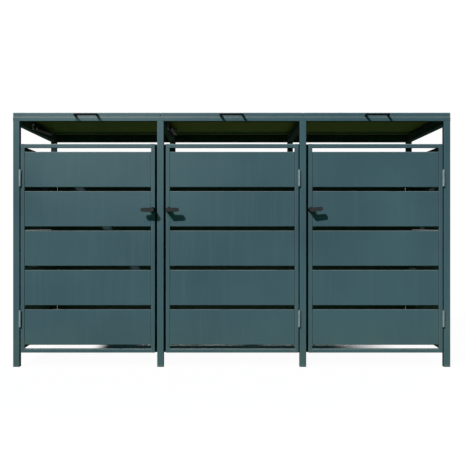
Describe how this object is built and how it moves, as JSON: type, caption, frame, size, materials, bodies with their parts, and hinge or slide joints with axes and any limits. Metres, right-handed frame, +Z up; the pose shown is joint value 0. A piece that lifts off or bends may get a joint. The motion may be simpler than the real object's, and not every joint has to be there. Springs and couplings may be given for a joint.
{
  "type": "wheelie bin store",
  "caption": "Outdoor store for wheelie bins: square-tube frame, slatted hinged doors with turn latches, and folded-sheet lids held by gas struts.",
  "frame": {"origin": "centre of the whole outline on the ground, with the levers and the lid hinges", "axes": "+X to the right along the front, +Y from the doors to the back, +Z up"},
  "size_m": [2, 0.855, 1.163],
  "materials": {
    "powder_coat": "satin powder coat, anthracite with a blue-green cast",
    "zinc_steel": "zinc plated, dull",
    "black_plastic": "moulded, fine grain",
    "lever_plastic": "moulded, dark brown-grey",
    "rubber": "matt",
    "strut_paint": "gloss black enamel",
    "strut_rod_steel": "ground, nitrided black"
  },
  "bodies": {
    "frame": {"front_post_1": "powder_coat", "front_post_2": "powder_coat", "front_post_3": "powder_coat", "front_post_4": "powder_coat", "rear_post_1": "powder_coat", "rear_post_2": "powder_coat", "rear_post_3": "powder_coat", "rear_post_4": "powder_coat", "front_top_rail": "powder_coat", "rear_top_rail": "powder_coat", "top_cross_rails": "powder_coat", "tube_end_plugs": "black_plastic", "side_frame_left": "powder_coat", "side_frame_right": "powder_coat", "side_slats_left": "powder_coat", "side_slats_right": "powder_coat", "rear_panel_1": "powder_coat", "rear_panel_2": "powder_coat", "rear_panel_3": "powder_coat", "door_hinge_fixed_leaves": "zinc_steel", "lid_hinge_fixed_leaves": "zinc_steel", "hinge_pins": "zinc_steel", "lid_buffers": "rubber", "strut_brackets": "zinc_steel"},
    "door_1": {"door_frame_1": "powder_coat", "door_slats_1": "powder_coat", "door_hinge_leaves_1": "zinc_steel", "latch_rose_1": "black_plastic"},
    "latch_1": {"latch_lever_1": "lever_plastic", "latch_cam_1": "zinc_steel"},
    "lid_1": {"lid_panel_1": "powder_coat", "lid_handle_1": "black_plastic", "lid_hinge_leaves_1": "zinc_steel", "lid_braces_1": "powder_coat"},
    "cylinder_1": {"strut_cylinder_1": "strut_paint"},
    "rod_1": {"strut_rod_1": "strut_rod_steel"},
    "door_2": {"door_frame_2": "powder_coat", "door_slats_2": "powder_coat", "door_hinge_leaves_2": "zinc_steel", "latch_rose_2": "black_plastic"},
    "latch_2": {"latch_lever_2": "lever_plastic", "latch_cam_2": "zinc_steel"},
    "lid_2": {"lid_panel_2": "powder_coat", "lid_handle_2": "black_plastic", "lid_hinge_leaves_2": "zinc_steel", "lid_braces_2": "powder_coat"},
    "cylinder_2": {"strut_cylinder_2": "strut_paint"},
    "rod_2": {"strut_rod_2": "strut_rod_steel"},
    "door_3": {"door_frame_3": "powder_coat", "door_slats_3": "powder_coat", "door_hinge_leaves_3": "zinc_steel", "latch_rose_3": "black_plastic"},
    "latch_3": {"latch_lever_3": "lever_plastic", "latch_cam_3": "zinc_steel"},
    "lid_3": {"lid_panel_3": "powder_coat", "lid_handle_3": "black_plastic", "lid_hinge_leaves_3": "zinc_steel", "lid_braces_3": "powder_coat"},
    "cylinder_3": {"strut_cylinder_3": "strut_paint"},
    "rod_3": {"strut_rod_3": "strut_rod_steel"}
  },
  "joints": [
    {"name": "door_1_swing", "type": "hinge", "parent": "frame", "child": "door_1", "pos_m": [-0.9675, -0.3885, 0.543], "axis": [0, 0, -1], "range_deg": [0, 110]},
    {"name": "latch_1_turn", "type": "hinge", "parent": "door_1", "child": "latch_1", "pos_m": [-0.3635, -0.3835, 0.718], "axis": [0, -1, 0], "range_deg": [0, 90]},
    {"name": "lid_1_lift", "type": "hinge", "parent": "frame", "child": "lid_1", "pos_m": [-0.66363, 0.4225, 1.14475], "axis": [-1, 0, 0], "range_deg": [0, 80]},
    {"name": "strut_1_tilt", "type": "hinge", "parent": "frame", "child": "cylinder_1", "pos_m": [-0.957, -0.1375, 1.11975], "axis": [1, 0, 0], "range_deg": [0, 23.89]},
    {"name": "strut_1_slide", "type": "slide", "parent": "cylinder_1", "child": "rod_1", "axis": [0, 0.9992, 0.0394], "range_m": [0, 0.23599]},
    {"name": "door_2_swing", "type": "hinge", "parent": "frame", "child": "door_2", "pos_m": [0.3085, -0.3885, 0.543], "axis": [0, 0, 1], "range_deg": [0, 110]},
    {"name": "latch_2_turn", "type": "hinge", "parent": "door_2", "child": "latch_2", "pos_m": [-0.2885, -0.3835, 0.718], "axis": [0, 1, 0], "range_deg": [0, 90]},
    {"name": "lid_2_lift", "type": "hinge", "parent": "frame", "child": "lid_2", "pos_m": [0, 0.4225, 1.14475], "axis": [-1, 0, 0], "range_deg": [0, 80]},
    {"name": "strut_2_tilt", "type": "hinge", "parent": "frame", "child": "cylinder_2", "pos_m": [-0.298, -0.1375, 1.11975], "axis": [1, 0, 0], "range_deg": [0, 23.89]},
    {"name": "strut_2_slide", "type": "slide", "parent": "cylinder_2", "child": "rod_2", "axis": [0, 0.9992, 0.0394], "range_m": [0, 0.23599]},
    {"name": "door_3_swing", "type": "hinge", "parent": "frame", "child": "door_3", "pos_m": [0.9675, -0.3885, 0.543], "axis": [0, 0, 1], "range_deg": [0, 110]},
    {"name": "latch_3_turn", "type": "hinge", "parent": "door_3", "child": "latch_3", "pos_m": [0.3635, -0.3835, 0.718], "axis": [0, 1, 0], "range_deg": [0, 90]},
    {"name": "lid_3_lift", "type": "hinge", "parent": "frame", "child": "lid_3", "pos_m": [0.66363, 0.4225, 1.14475], "axis": [-1, 0, 0], "range_deg": [0, 80]},
    {"name": "strut_3_tilt", "type": "hinge", "parent": "frame", "child": "cylinder_3", "pos_m": [0.354, -0.1375, 1.11975], "axis": [1, 0, 0], "range_deg": [0, 23.89]},
    {"name": "strut_3_slide", "type": "slide", "parent": "cylinder_3", "child": "rod_3", "axis": [0, 0.9992, 0.0394], "range_m": [0, 0.23599]}
  ],
  "couplings": [
    {"joint": "strut_1_tilt", "follows": "lid_1_lift", "ratio": 0.29855},
    {"joint": "strut_1_slide", "follows": "lid_1_lift", "m_per_rad": 0.16895},
    {"joint": "strut_2_tilt", "follows": "lid_2_lift", "ratio": 0.29855},
    {"joint": "strut_2_slide", "follows": "lid_2_lift", "m_per_rad": 0.16895},
    {"joint": "strut_3_tilt", "follows": "lid_3_lift", "ratio": 0.29855},
    {"joint": "strut_3_slide", "follows": "lid_3_lift", "m_per_rad": 0.16895}
  ]
}
